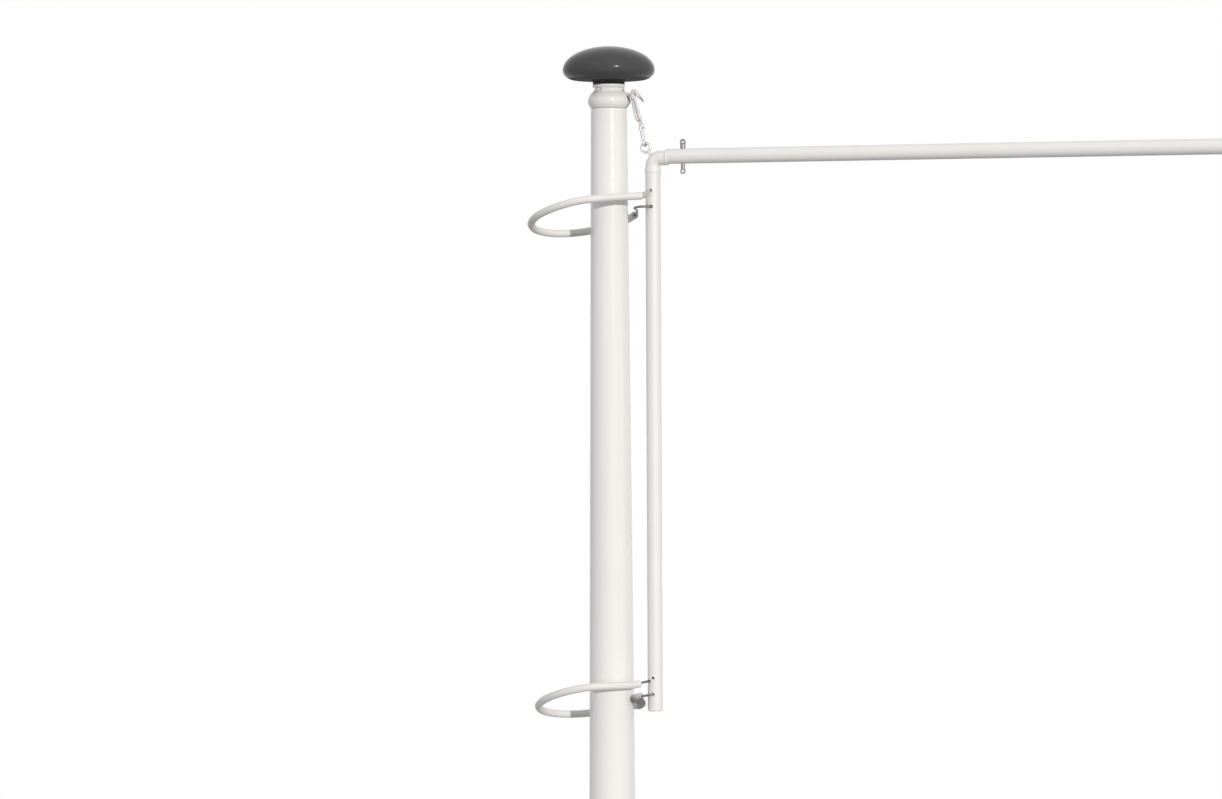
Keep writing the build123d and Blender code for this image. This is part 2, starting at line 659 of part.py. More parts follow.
# ---- boom pins: stainless eye pins dropped through the boom ------------------------------
pin_collar_z = boom_z + TUBE_D / 2 + SEAT
top_eye_z = pin_collar_z + BOOM_PIN_COLLAR_H + TOP_EYE_R
low_eye_z = boom_z - TUBE_D / 2 - LOW_EYE_DROP
shank_low_z = low_eye_z + LOW_EYE_R
for pin_x, pin_name in zip(boom_pin_xs, ("boom_pin_near", "boom_pin_far")):
    with BuildPart() as boom_pin:
        with BuildSketch(Plane((pin_x, 0, shank_low_z))):
            Circle(BOOM_PIN_D / 2)
        extrude(amount=pin_collar_z - shank_low_z)
        with BuildSketch(Plane((pin_x, 0, pin_collar_z))):
            Circle(BOOM_PIN_COLLAR_D / 2)
        extrude(amount=BOOM_PIN_COLLAR_H)
        with Locations(turned_plane((pin_x, 0, top_eye_z), TOP_EYE_TURN)):
            Torus(TOP_EYE_R, TOP_EYE_WIRE / 2)
        with Locations(turned_plane((pin_x, 0, low_eye_z), LOW_EYE_TURN)):
            Torus(LOW_EYE_R, LOW_EYE_WIRE / 2)
    finish(boom_pin, pin_name)

# ---- eye bolt: ring and shank screwed into the outside of the elbow ----------------------
with BuildPart() as eye_bolt:
    with BuildSketch(eye_plane.offset(-EYE_SHANK_IN)):
        Circle(EYE_SHANK_D / 2)
    extrude(amount=EYE_SHANK_IN + EYE_REACH - EYE_RING_R)
    with Locations(Plane(origin=eye_centre, x_dir=eye_dir, z_dir=(0, -1, 0))):
        Torus(EYE_RING_R, EYE_WIRE_D / 2)
finish(eye_bolt, "eye_bolt")

# ---- snap hook: bent wire hook, its gate and its swivel, in line with the taut halyard ----
pull_dir = (knot_centre - eye_centre).normalized()
hook_turn = radians(HOOK_TURN)
across_dir = Vector(0, 1, 0) * cos(hook_turn) - pull_dir.cross(Vector(0, 1, 0)) * sin(hook_turn)
hook_centre = eye_centre + pull_dir * EYE_RING_R
hook_bend_r = (EYE_WIRE_D + HOOK_WIRE_D) / 2 / cos(hook_turn) + SEAT


def on_hook(along, across):
    """Point in the hook's plane, measured from the middle of the eye's wire."""
    return hook_centre + pull_dir * along + across_dir * across


hook_gate_low = 2.0
hook_top = hook_gate_low + HOOK_LENGTH
with BuildPart() as hook_body:
    with BuildLine() as hook_path:
        Line(on_hook(hook_gate_low, -hook_bend_r), on_hook(0, -hook_bend_r))
        ThreePointArc(
            on_hook(0, -hook_bend_r), on_hook(-hook_bend_r, 0), on_hook(0, hook_bend_r)
        )
        Line(on_hook(0, hook_bend_r), on_hook(hook_top, hook_bend_r))
    with BuildSketch(Plane(origin=hook_path.line @ 0, z_dir=hook_path.line % 0)):
        Circle(HOOK_WIRE_D / 2)
    sweep()
    with BuildSketch(Plane(origin=on_hook(hook_top - HOOK_WIRE_D, 0), x_dir=across_dir, z_dir=pull_dir)):
        SlotOverall(2 * hook_bend_r + HOOK_WIRE_D + 1, HOOK_WIRE_D + 1)
    extrude(amount=HOOK_WIRE_D)
finish(hook_body, "hook_body")

with BuildPart() as hook_gate:
    gate_low = on_hook(hook_gate_low + SEAT, -hook_bend_r)
    with BuildSketch(Plane(origin=gate_low, x_dir=across_dir, z_dir=pull_dir)):
        Circle(HOOK_WIRE_D / 2 - SEAT)
    extrude(amount=HOOK_LENGTH - HOOK_WIRE_D - 2 * SEAT)
finish(hook_gate, "hook_gate")

swivel_foot = hook_top + SEAT
swivel_eye = swivel_foot + SWIVEL_RING_R + SWIVEL_WIRE_D
with BuildPart() as hook_swivel:
    with BuildSketch(Plane(origin=on_hook(swivel_foot, 0), x_dir=across_dir, z_dir=pull_dir)):
        Circle(HOOK_WIRE_D)
    extrude(amount=SWIVEL_WIRE_D)
    with Locations(Plane(origin=on_hook(swivel_eye, 0), x_dir=pull_dir, z_dir=pull_dir.cross(across_dir))):
        Torus(SWIVEL_RING_R, SWIVEL_WIRE_D / 2)
finish(hook_swivel, "hook_swivel")

# ---- halyard's end: loop through the swivel, knot and short tail -------------------------
loop_turn = hook_centre + pull_dir * (swivel_eye + SWIVEL_RING_R)
loop_side = pull_dir.cross(across_dir)
loop_turn_r = SWIVEL_WIRE_D / 2 + ROPE_D / 2 + SLIP
loop_top_r = ROPE_D / 2 + SLIP / 2
loop_top = knot_centre - pull_dir * (KNOT_R - ROPE_D / 4)
with BuildPart() as halyard_end:
    with BuildLine() as loop_path:
        loop_low = loop_turn - pull_dir * loop_turn_r
        FilletPolyline(
            loop_top + loop_side * loop_top_r,
            loop_low + loop_side * loop_turn_r,
            loop_low - loop_side * loop_turn_r,
            loop_top - loop_side * loop_top_r,
            radius=0.95 * loop_turn_r,
        )
    with BuildSketch(Plane(origin=loop_path.line @ 0, z_dir=loop_path.line % 0)):
        Circle(ROPE_D / 2)
    sweep()
    with Locations(knot_centre):
        Sphere(KNOT_R)
    with BuildSketch(Plane(origin=knot_centre, z_dir=(TAIL_DIR_X, 0, TAIL_DIR_Z))):
        Circle(ROPE_D / 2)
    extrude(amount=TAIL_LENGTH)
finish(halyard_end, "halyard_end")

# ---- guide rings: bent steel rods hooked into the arm tube, covered with plastic hose ----


def ring_route(ring_back, tilt, middle_z, low_leg, high_leg):
    """Rod's route: lower hole, round behind the pole, in front of it, up to the upper hole.

    The legs' points are measured from the upright's axis and from the middle of its two holes.
    """
    centre_x = TUBE_X - ring_back

    def on_ring(angle):
        x = RING_RADIUS * cos(radians(angle))
        y = RING_RADIUS * sin(radians(angle))
        return (centre_x + x, y, middle_z - RING_HANG + RING_SLOPE_X * x - tilt * y)

    def on_leg(point):
        return (TUBE_X + point[0], point[1], middle_z + point[2])

    bow = [on_ring(angle) for angle in range(RING_BOW_START, RING_BOW_END, RING_STEP)]
    return [on_leg(point) for point in low_leg] + bow + [on_leg(point) for point in high_leg]


def swept_ring(route, outer_d, bore_d, label):
    """Round bar along the route, or hose that ends in the middle of its first and last runs."""
    points = list(route)
    if bore_d:
        points[0] = tuple((Vector(*route[0]) + Vector(*route[1])) / 2)
        points[-1] = tuple((Vector(*route[-1]) + Vector(*route[-2])) / 2)
    with BuildPart() as ring:
        with BuildLine() as ring_path:
            FilletPolyline(*points, radius=round_bend_radii(route))
        with BuildSketch(Plane(origin=ring_path.line @ 0, z_dir=ring_path.line % 0)):
            Circle(outer_d / 2)
            if bore_d:
                Circle(bore_d / 2, mode=Mode.SUBTRACT)
        sweep()
    finish(ring, label)


tip_y = -TUBE_D / 2 + TUBE_WALL + 2
corner_y = -TUBE_D / 2 - RING_ROD_D - 1
side_tip = side_hole_dir * (TUBE_D / 2 - TUBE_WALL - 2)
side_entry = side_hole_dir * (TUBE_D / 2 + 3 * RING_ROD_D)
half_pitch = RING_HOLE_PITCH / 2

upper_route = ring_route(
    UPPER_RING_BACK,
    UPPER_RING_TILT,
    ring_high_z,
    low_leg=[
        (0, tip_y, -half_pitch),
        (0, corner_y, -half_pitch),
        (-18.5, -22.0, -13.9),
        (-29.0, -13.0, -15.4),
        (-31.0, 12.0, -18.9),
        (-39.5, 42.0, -22.9),
        (-55.5, 64.0, -28.4),
    ],
    high_leg=[
        (-98.0, -87.3, -3.4),
        (-37.5, -48.6, 2.2),
        (-16.0, -31.3, 3.4),
        (-7.5, -24.8, 4.2),
        (0, corner_y - 1, half_pitch),
        (0, tip_y, half_pitch),
    ],
)
lower_route = ring_route(
    LOWER_RING_BACK,
    LOWER_RING_TILT,
    ring_low_z,
    low_leg=[
        (0, tip_y, -half_pitch),
        (0, corner_y - 0.5, -half_pitch),
        (-35.0, -17.5, -20.4),
        (-25.5, 4.8, -27.9),
        (-30.0, 26.0, -34.9),
        (-44.5, 53.0, -42.4),
    ],
    high_leg=[
        (-89.7, -87.3, 4.4),
        (-48.5, -63.0, 4.6),
        (-26.0, -32.5, 3.2),
        (side_entry.X, side_entry.Y, SIDE_HOLE_RISE - 1),
        (side_tip.X, side_tip.Y, SIDE_HOLE_RISE),
    ],
)
hose_bore_d = RING_ROD_D + 2 * SEAT
swept_ring(upper_route, RING_ROD_D, 0, "ring_upper_rod")
swept_ring(upper_route[5:-2], RING_HOSE_D, hose_bore_d, "ring_upper_hose")
swept_ring(lower_route, RING_ROD_D, 0, "ring_lower_rod")
swept_ring(lower_route[1:-1], RING_HOSE_D, hose_bore_d, "ring_lower_hose")
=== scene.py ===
import math

import bmesh
import bpy
from mathutils import Matrix, Vector


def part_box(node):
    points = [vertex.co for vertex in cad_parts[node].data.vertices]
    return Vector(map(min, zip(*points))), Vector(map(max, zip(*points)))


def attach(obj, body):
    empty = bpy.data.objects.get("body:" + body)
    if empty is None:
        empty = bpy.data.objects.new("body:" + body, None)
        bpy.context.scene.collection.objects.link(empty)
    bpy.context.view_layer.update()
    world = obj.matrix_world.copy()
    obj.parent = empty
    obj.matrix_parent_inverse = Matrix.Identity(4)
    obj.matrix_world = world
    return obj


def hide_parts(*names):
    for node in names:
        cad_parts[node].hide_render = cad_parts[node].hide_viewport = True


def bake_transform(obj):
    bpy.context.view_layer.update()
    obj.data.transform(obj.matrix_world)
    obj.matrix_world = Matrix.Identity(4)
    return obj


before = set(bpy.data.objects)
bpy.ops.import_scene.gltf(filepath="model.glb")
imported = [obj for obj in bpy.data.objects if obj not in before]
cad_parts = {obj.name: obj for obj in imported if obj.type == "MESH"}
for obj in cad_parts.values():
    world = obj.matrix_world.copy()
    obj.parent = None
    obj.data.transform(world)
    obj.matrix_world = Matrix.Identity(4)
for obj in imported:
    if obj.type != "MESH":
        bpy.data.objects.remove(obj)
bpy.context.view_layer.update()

# ---- Viewpoint -----------------------------------------------------------------------------
# The flagpole's top seen from a ladder's height, with the boom pointing a little towards
# the viewer. A long lens keeps the boom and the pole nearly parallel to the frame.
eye_point = Vector((1.60804, -5.25968, 5.68321))
eye_turn = math.radians(16.9878)
eye_dip = math.radians(1.720)
eye_roll = math.radians(-0.28)
look = Vector((-math.sin(eye_turn) * math.cos(eye_dip), math.cos(eye_turn) * math.cos(eye_dip),
               -math.sin(eye_dip)))
level_right = Vector((math.cos(eye_turn), math.sin(eye_turn), 0))
level_up = level_right.cross(look)
eye_right = level_right * math.cos(eye_roll) + level_up * math.sin(eye_roll)
eye_up = level_up * math.cos(eye_roll) - level_right * math.sin(eye_roll)
lens = bpy.data.cameras.new("long_lens")
lens.lens = 97.608
lens.sensor_width = 36
lens.clip_end = 200
viewer = bpy.data.objects.new("viewer", lens)
viewer.matrix_world = Matrix.Translation(eye_point) @ Matrix(
    (eye_right, eye_up, -look)).transposed().to_4x4()
bpy.context.scene.collection.objects.link(viewer)
bpy.context.scene.camera = viewer
bpy.context.scene.view_settings.view_transform = "Standard"


# ---- Foot: base plate, socket and foot bolt ------------------------------------------------
# A square plate with a welded socket tube, hot-dip galvanised after welding, with zinc
# spangles of two greys. One stainless bolt through the pole's butt holds it on the socket,
# and a bead of grey sealant closes the joint between the pole and the plate.
class Wire:
    """A value that runs over a surface. It adds and multiplies like a number."""

    def __init__(self, bench, socket):
        self.bench = bench
        self.socket = socket

    def maths(self, operation, first, second):
        return self.bench.step("ShaderNodeMath", {"operation": operation}, {0: first, 1: second})

    def __add__(self, other):
        return self.maths("ADD", self, other)

    def __radd__(self, other):
        return self.maths("ADD", other, self)

    def __sub__(self, other):
        return self.maths("SUBTRACT", self, other)

    def __rsub__(self, other):
        return self.maths("SUBTRACT", other, self)

    def __mul__(self, other):
        return self.maths("MULTIPLY", self, other)

    def __rmul__(self, other):
        return self.maths("MULTIPLY", other, self)

    def __pow__(self, other):
        return self.maths("POWER", self, other)

    def __gt__(self, other):
        return self.maths("GREATER_THAN", self, other)

    def above_zero(self):
        return self.maths("MAXIMUM", self, 0)


class Bench:
    """A node tree that steps are laid out on, one node a step."""

    def __init__(self, tree):
        self.tree = tree
        tree.nodes.clear()

    def step(self, kind, settings=None, inputs=None, output=0):
        """Lays out one node: its settings first, then the values or wires of its sockets."""
        made = self.tree.nodes.new(kind)
        for name, value in (settings or {}).items():
            setattr(made, name, value)
        for key, value in (inputs or {}).items():
            if isinstance(value, Wire):
                self.tree.links.new(value.socket, made.inputs[key])
            else:
                made.inputs[key].default_value = value
        return Wire(self, made.outputs[output]) if made.outputs else None


class Finish(Bench):
    """One finish: a shader, the steps that feed it, and the parts that it covers."""

    def __init__(self, name, **constants):
        self.material = bpy.data.materials.new(name)
        self.material.use_nodes = True
        super().__init__(self.material.node_tree)
        self.shader = self.step("ShaderNodeBsdfPrincipled", None, {
            socket.replace("_", " "): value for socket, value in constants.items()})
        self.step("ShaderNodeOutputMaterial", None, {0: self.shader})
        self.surface = self.tree.nodes[-1].inputs[0]

    def place(self, x=1, y=1, z=1):
        """The point on the part in metres. A low number stretches a pattern along its axis."""
        where = self.step("ShaderNodeTexCoord", output=3)
        return self.step("ShaderNodeVectorMath", {"operation": "MULTIPLY"},
                         {0: where, 1: (x, y, z)})

    def measure(self, axis):
        """How far along an axis the point lies, in metres."""
        return self.step("ShaderNodeSeparateXYZ", None, {0: self.place()}, axis)

    def cloud(self, where, size, detail=3, rough=0.5):
        """Soft noise from 0 to 1 with lumps of a size in metres."""
        return self.step("ShaderNodeTexNoise", None,
                         {"Vector": where, "Scale": 1 / size, "Detail": detail, "Roughness": rough})

    def rise(self, value, low, high):
        """0 below the low value and 1 above the high one, with a soft slope between."""
        return self.step("ShaderNodeMapRange", {"interpolation_type": "SMOOTHSTEP"},
                         {"Value": value, "From Min": low, "From Max": high})

    def blend(self, factor, first, second):
        """A colour between two colours, each given as numbers or as a wire."""
        first = first if isinstance(first, Wire) else (*first, 1)
        second = second if isinstance(second, Wire) else (*second, 1)
        return self.step("ShaderNodeMix", {"data_type": "RGBA"},
                         {0: factor, 6: first, 7: second}, 2)

    def feed(self, socket, value):
        self.tree.links.new(value.socket, self.shader.socket.node.inputs[socket])

    def wear(self, pattern, dark, light, smooth, rough):
        """One pattern drives the colour from dark to light and the roughness with it."""
        self.feed("Base Color", self.blend(pattern, dark, light))
        self.feed("Roughness", smooth + (rough - smooth) * pattern)

    def relief(self, height, depth):
        """Fine relief: a depth in metres where the height is 1."""
        self.feed("Normal", self.step(
            "ShaderNodeBump", None, {"Distance": depth, "Height": height}))

    def cover(self, *names):
        for name in names:
            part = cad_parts[name]
            part.data.materials.clear()
            part.data.materials.append(self.material)


def skin(name, rings, finish, looped=False):
    """Smooth piece through rings of points, closed at both ends or joined into a loop."""
    shape = bmesh.new()
    rows = [[shape.verts.new(point) for point in ring] for ring in rings]
    for row, following in zip(rows, rows[1:] + (rows[:1] if looped else [])):
        for i in range(len(row)):
            shape.faces.new((row[i - 1], row[i], following[i], following[i - 1]))
    if not looped:
        shape.faces.new(rows[0])
        shape.faces.new(rows[-1])
    bmesh.ops.recalc_face_normals(shape, faces=shape.faces)
    mesh = bpy.data.meshes.new(name)
    shape.to_mesh(mesh)
    shape.free()
    mesh.polygons.foreach_set("use_smooth", [len(face.vertices) < 5 for face in mesh.polygons])
    mesh.materials.append(finish.material)
    piece = bpy.data.objects.new(name, mesh)
    bpy.context.scene.collection.objects.link(piece)
    return piece


def directions(first, second, count):
    """Angles evenly round a circle with their directions, a quarter turn from first to second."""
    angles = [2 * math.pi * i / count for i in range(count)]
    return [(angle, first * math.cos(angle) + second * math.sin(angle)) for angle in angles]


def bead(spots, axis, sides):
    """Rings for a bead that closes on itself, from (middle, outward, thickness) spots."""
    return [[middle + thickness * direction for _, direction in directions(outward, axis, sides)]
            for middle, outward, thickness in spots]


right = Vector((1, 0, 0))
back = Vector((0, 1, 0))
up = Vector((0, 0, 1))

zinc = Finish("galvanised_zinc", Metallic=0.75, IOR=1.5)
spangle = zinc.step("ShaderNodeTexVoronoi", None, {"Vector": zinc.place(), "Scale": 90.0}, 1)
cells = zinc.step("ShaderNodeRGBToBW", None, {0: spangle})
damp = zinc.cloud(zinc.place(), 0.06, 4)
zinc.feed("Base Color", zinc.blend(
    cells * 0.7 + damp * 0.3, (0.34, 0.35, 0.365), (0.54, 0.55, 0.56)))
zinc.feed("Roughness", 0.42 + 0.2 * cells)
zinc.relief(cells * 0.4 + zinc.cloud(zinc.place(), 0.006) * 0.6, 0.0002)
zinc.cover("base_plate", "base_socket")

bolt_steel = Finish("bolt_stainless", Metallic=1.0)
turning = bolt_steel.cloud(bolt_steel.place(1, 0.05, 1), 0.0009, 2)
bolt_steel.feed("Base Color", bolt_steel.blend(turning, (0.50, 0.50, 0.49), (0.66, 0.66, 0.65)))
bolt_steel.feed("Roughness", 0.24 + 0.2 * bolt_steel.cloud(bolt_steel.place(), 0.007, 4))
bolt_steel.relief(turning, 0.00003)
bolt_steel.cover("foot_bolt")

sealant = Finish("grey_sealant", IOR=1.45)
ripple = sealant.cloud(sealant.place(), 0.006, 3)
sealant.wear(ripple, (0.30, 0.30, 0.295), (0.42, 0.42, 0.41), 0.5, 0.7)
sealant.relief(ripple, 0.0008)
seal_radius = 0.0732
seal_height = 0.0125
seal_spots = []
for angle, outward in directions(right, back, 160):
    thickness = 0.0032 + 0.0004 * math.sin(7 * angle) * math.sin(3 * angle + 1)
    seal_spots.append((up * seal_height + outward * seal_radius, outward, thickness))
foot_seal = skin("foot_seal", bead(seal_spots, up, 16), sealant, looped=True)
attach(foot_seal, "pole")

# ---- Pole shaft and hatch ------------------------------------------------------------------
# Filament-wound glass fibre under a warm white gelcoat, with faint upright rain streaks, a
# very shallow trace of the winding, and splashed soil at the foot. Two stainless screws hold
# the hatch door.
gelcoat = Finish("pole_gelcoat", IOR=1.5, Specular_IOR_Level=0.5)
rain = gelcoat.cloud(gelcoat.place(1, 1, 0.03), 0.02, 4, 0.6)
patches = gelcoat.cloud(gelcoat.place(), 0.25, 3)
shade_of_white = gelcoat.rise(rain * 0.6 + patches * 0.4, 0.36, 0.66)
splashes = gelcoat.cloud(gelcoat.place(), 0.05, 4)
soil = 1 - gelcoat.rise(gelcoat.measure(2) + 0.12 * splashes, 0.06, 0.42)
clean_white = gelcoat.blend(shade_of_white, (0.865, 0.845, 0.805), (0.905, 0.89, 0.86))
gelcoat.feed("Base Color", gelcoat.blend(soil * 0.5, clean_white, (0.60, 0.56, 0.49)))
gelcoat.feed("Roughness",
             0.15 + 0.06 * gelcoat.cloud(gelcoat.place(1, 1, 0.05), 0.03) + 0.4 * soil)
winding = gelcoat.step("ShaderNodeTexWave", {"bands_direction": "Z"},
                       {"Vector": gelcoat.place(), "Scale": 14.0, "Distortion": 2.0, "Detail": 2.0})
gelcoat.relief(winding * 0.5 + gelcoat.cloud(gelcoat.place(), 0.004) * 0.5, 0.00005)
gelcoat.cover("pole_shaft", "hatch_door")

foot_radius = 0.073
taper = 0.0071665
door_proud = 0.0028
# The taper is the radius lost for each metre of height. The screws are domed with a round
# recess, as (radius, height over the door) steps.
screw_steps = ((0.0036, -0.0005), (0.0036, 0.0010), (0.0034, 0.0015), (0.0029, 0.0020),
               (0.0022, 0.0023), (0.0016, 0.00235), (0.00145, 0.0022), (0.00140, 0.0010))
for where, screw_height in (("top", 1.290), ("bottom", 1.110)):
    door_face = foot_radius + door_proud - taper * screw_height
    screw_rings = [[up * screw_height - back * (door_face + proud) + radius * direction
                    for _, direction in directions(right, up, 36)]
                   for radius, proud in screw_steps]
    screw = skin("hatch_screw_" + where, screw_rings, bolt_steel)
    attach(screw, "pole")

# ---- Cleat and rope inside the pole --------------------------------------------------------
# A black nylon block behind the hatch holds the halyard, which runs up the pole's axis. The
# cord is braided polyester, greyed where it has been handled and tarred at its whipped tip.
nylon = Finish("black_nylon", IOR=1.5)
grain = nylon.cloud(nylon.place(), 0.0015, 3)
nylon.wear(grain, (0.018, 0.018, 0.019), (0.04, 0.04, 0.042), 0.45, 0.65)
nylon.relief(grain, 0.00005)
nylon.cover("pole_bush", "rope_roller", "halyard_cleat")

cord = Finish("braided_cord", IOR=1.45, Roughness=0.8)
fibres = cord.cloud(cord.place(), 0.0007, 3)
handled = cord.rise(cord.cloud(cord.place(), 0.006, 3), 0.35, 0.65)
jacket = cord.blend(fibres * 0.5 + handled * 0.5, (0.66, 0.62, 0.60), (0.92, 0.905, 0.885))
tip_tar = cord.rise(cord.measure(0), 0.051, 0.059) * cord.rise(cord.measure(2), 6.004, 6.008)
cord.feed("Base Color", cord.blend(tip_tar, jacket, (0.17, 0.16, 0.155)))
cord.relief(fibres, 0.0002)
cord.cover("halyard_inside", "halyard_head")

# ---- Turning head --------------------------------------------------------------------------
# One white moulding that turns on a nylon bush in the pole's top. A stainless clip holds
# it down, and a pin carries the grooved roller. The slot's inside is darkened as painted shade.
moulding = Finish("head_moulding", IOR=1.5)
flow = moulding.cloud(moulding.place(), 0.02, 3)
ageing = moulding.cloud(moulding.place(1, 1, 0.3), 0.008, 4)
sideways = moulding.measure(1)
# Painted shade: a brown darkening inside the slot, where shade falls.
slot_painted_shade = (moulding.rise(moulding.measure(0), 0.0285, 0.0305)
           * moulding.rise(sideways, -0.0062, -0.0052)
           * (1 - moulding.rise(sideways, 0.0052, 0.0062)))
unshaded_shell = moulding.blend(
    flow * 0.6 + ageing * 0.4, (0.845, 0.825, 0.79), (0.89, 0.875, 0.845))
moulding.feed("Base Color", moulding.blend(
    slot_painted_shade * (0.6 + 0.4 * ageing), unshaded_shell, (0.20, 0.16, 0.14)))
moulding.feed("Roughness", 0.11 + 0.10 * flow)
# The bulge is rounded off above the ridge that it stands on.
shoulder = moulding.step("ShaderNodeMapRange", None, {
    "Value": moulding.measure(2), "From Min": 6.0126, "From Max": 6.0200})
moulding.relief(0.05 * moulding.cloud(moulding.place(), 0.003)
                + 1.33 * (shoulder - 0.5 * shoulder * shoulder), 0.001)
moulding.cover("head_shell")

steel = Finish("polished_stainless", Metallic=1.0)
film = steel.cloud(steel.place(), 0.004, 4)
steel.wear(film, (0.42, 0.42, 0.41), (0.62, 0.62, 0.61), 0.20, 0.46)
steel.relief(steel.cloud(steel.place(1, 1, 0.1), 0.0006), 0.00003)
steel.cover("spigot_clip", "roller_pin")

# ---- Mushroom cap --------------------------------------------------------------------------
# Black moulded cap on the head's boss, which sheds rain past the head. Weather has dulled
# it to a dark grey that keeps a low gloss.
cap = Finish("cap_moulding", IOR=1.5, Specular_IOR_Level=0.14)
bloom = cap.cloud(cap.place(), 0.03, 4)
cap.feed("Base Color", cap.blend(bloom, (0.062, 0.062, 0.064), (0.078, 0.078, 0.080)))
underside = 1 - cap.rise(cap.measure(2), 6.0470, 6.0530)
cap.feed("Roughness", 0.13 + 0.09 * bloom + 0.62 * underside)
cap.relief(cap.cloud(cap.place(), 0.002), 0.00002)
cap.cover("mushroom_cap")

# ---- Banner arm ----------------------------------------------------------------------------
# An upright tube, a cast corner and a boom under one white powder coat with a slight
# orange peel, which weather has chalked in wide soft patches.
powder = Finish("powder_coat", IOR=1.5)
peel = powder.cloud(powder.place(), 0.0018, 2)
chalk = powder.cloud(powder.place(), 0.08, 4)
powder.wear(chalk, (0.84, 0.82, 0.78), (0.885, 0.87, 0.84), 0.34, 0.49)
powder.relief(peel, 0.00005)
powder.cover("arm_tube", "boom", "elbow")

# ---- End plugs -----------------------------------------------------------------------------
# Push-in plugs of white plastic close the lower end of the upright and the far end of the
# boom. They are a little greyer than the paint beside them.
plug = Finish("tube_plug", IOR=1.5)
speck = plug.cloud(plug.place(), 0.004, 3)
plug.wear(speck, (0.78, 0.77, 0.745), (0.84, 0.83, 0.81), 0.36, 0.51)
plug.relief(speck, 0.00005)
plug.cover("tube_end_plug", "boom_end_plug")

# ---- Eye bolt and boom pins ----------------------------------------------------------------
# The eye bolt is screwed into the corner and carries a thin, pale zinc coat. The pins
# dropped through the boom are forged and duller.
pale_zinc = Finish("pale_zinc", Metallic=0.85)
clouded = pale_zinc.cloud(pale_zinc.place(), 0.003, 4)
pale_zinc.wear(clouded, (0.58, 0.58, 0.57), (0.80, 0.80, 0.79), 0.28, 0.48)
pale_zinc.relief(clouded, 0.00008)
pale_zinc.cover("eye_bolt")

forged = Finish("forged_pin", Metallic=1.0)
scale = forged.cloud(forged.place(), 0.003, 4)
forged.wear(scale, (0.16, 0.16, 0.16), (0.36, 0.355, 0.35), 0.34, 0.54)
forged.relief(scale, 0.0001)
forged.cover("boom_pin_near", "boom_pin_far")

# ---- Snap hook -----------------------------------------------------------------------------
# Bent wire hook with a gate and a swivel, in stainless steel. The gate is a darker copy of
# the hook's steel, as painted shade.
# Painted shade: the gate's steel is darker than the hook's.
shaded_gate_steel = Finish("gate_stainless_painted_shade", Metallic=1.0)
gate_mottle = shaded_gate_steel.cloud(shaded_gate_steel.place(), 0.003, 4)
shaded_gate_steel.wear(gate_mottle, (0.22, 0.22, 0.21), (0.42, 0.42, 0.41), 0.26, 0.46)
shaded_gate_steel.relief(shaded_gate_steel.cloud(shaded_gate_steel.place(1, 1, 0.1), 0.0006), 0.00003)
shaded_gate_steel.cover("hook_gate")
steel.cover("hook_body", "hook_swivel")


# ---- Halyard's end: paid-out rope, knot and loop -------------------------------------------
# Five-millimetre polyester cord with a braided jacket. It comes out of the head's slot, is
# knotted close to it, and its loop holds the swivel. The whipped tip is worn to a point.
def along(points, pace):
    """Evenly spaced (place, radius) pairs on a soft line through points in millimetres."""
    stops = [Vector(point) for point in points]
    stops = [2 * stops[0] - stops[1]] + stops + [2 * stops[-1] - stops[-2]]
    line = []
    for before, first, second, after in zip(stops, stops[1:], stops[2:], stops[3:]):
        share = max(2, round((second - first).length / pace))
        for i in range(share):
            t = i / share
            line.append(0.5 * (2 * first + t * (second - before)
                               + t * t * (2 * before - 5 * first + 4 * second - after)
                               + t ** 3 * (3 * first - before - 3 * second + after)))
    line.append(stops[-2])
    return [(Vector(spot[:3]) / 1000, spot[3] / 1000) for spot in line]


yarns_round = 4
yarn_twist = 1600


def hoops(line, sides, plait=0.0):
    """Rings of points round a line. A plait raises two crossing sets of yarns on them."""
    rings = []
    side = Vector((0.1, 1, 0.05))
    run = 0.0
    for i, (place, radius) in enumerate(line):
        ahead = line[min(i + 1, len(line) - 1)][0] - line[max(i - 1, 0)][0]
        side = (side - ahead * side.dot(ahead) / ahead.length_squared).normalized()
        other = ahead.normalized().cross(side)
        if i:
            run += (place - line[i - 1][0]).length
        twist = yarn_twist * run
        ring = []
        for angle, direction in directions(side, other, sides):
            yarns = max(abs(math.cos(yarns_round * angle + twist)),
                        abs(math.cos(yarns_round * angle - twist)))
            ring.append(place + (radius + plait * (yarns - 0.85)) * direction)
        rings.append(ring)
    return rings


# Places and radii of the cord are in millimetres. The loop's two legs lie on either side of
# its middle line, and each row is (x, height over the pole's top, half gap, radius).
pole_top = 6000.0
legs_apart = Vector((-0.93125, 0.30902, -0.19310))
leg = ((40.9, 22.0, 1.9, 2.1), (42.3, 15.5, 2.2, 2.35), (44.2, 8.5, 2.6, 2.5),
       (46.2, 1.0, 2.9, 2.75), (48.4, -9.0, 3.1, 2.9), (51.2, -17.0, 3.1, 2.85))
bight = ((53.6, -20.9, -2.4, 2.4), (54.4, -22.7, 0, 2.2), (53.6, -20.9, 2.4, 2.4))
loop_rows = ([(x, z, -gap, radius) for x, z, gap, radius in leg] + list(bight)
             + list(reversed(leg)))
loop_line = [(*(Vector((x, 0, pole_top + z)) + legs_apart * gap), radius)
             for x, z, gap, radius in loop_rows]
knot_line = [(x, y, pole_top + z, radius) for x, y, z, radius in (
    (38.9, 0.8, 20.6, 2.4), (40.2, -1.4, 24.6, 2.8), (43.9, -2.6, 28.2, 2.9),
    (47.6, -2.2, 25.4, 3.3), (50.2, -1.0, 21.4, 3.1), (53.9, 0.4, 17.2, 2.4),
    (57.2, 0.9, 13.4, 1.4), (60.2, 1.0, 10.2, 0.5))]
wrap_turns = 2.2
wrap_line = []
for eighth in range(round(8 * wrap_turns) + 1):
    angle = eighth * math.pi / 4
    wrap_line.append((41.4 + 3.4 * math.cos(angle), 3.3 * math.sin(angle),
                      pole_top + 22.8 - 3.3 * eighth / 8 - 0.8 * math.cos(angle), 2.0))
